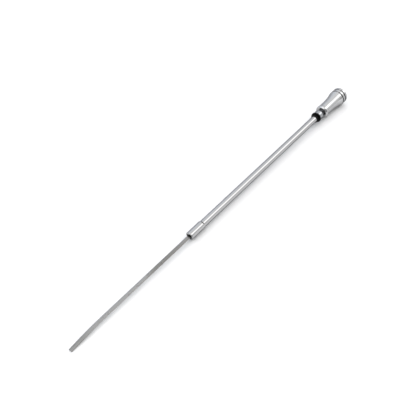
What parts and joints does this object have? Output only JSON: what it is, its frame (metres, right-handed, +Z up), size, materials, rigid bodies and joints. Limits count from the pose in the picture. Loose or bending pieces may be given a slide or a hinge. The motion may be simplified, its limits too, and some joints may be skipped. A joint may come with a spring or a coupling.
{
  "type": "engine oil dipstick",
  "caption": "Engine oil dipstick: turned aluminium handle, rubber sealed collar, chromed tube stem, ferrule and a flat steel blade with level marks.",
  "frame": {"origin": "middle of the object's footprint, on the surface it lies on", "axes": "+Z up, +X along the stem towards the handle, the blade's tip towards -X; the strip's flat faces up and down"},
  "size_m": [0.4584, 0.0204, 0.0205],
  "materials": {
    "handle": "turned and polished",
    "collar": "polished",
    "seal": "moulded, slightly glossy",
    "tube": "bright plated",
    "ferrule": "bright plated",
    "plug": "plain",
    "blade": "rolled, matt"
  },
  "bodies": {
    "root": {"handle": "handle", "seal_collar": "collar", "seal_ring": "seal", "tube": "tube", "ferrule": "ferrule", "blade_plug": "plug", "blade": "blade"}
  },
  "joints": []
}
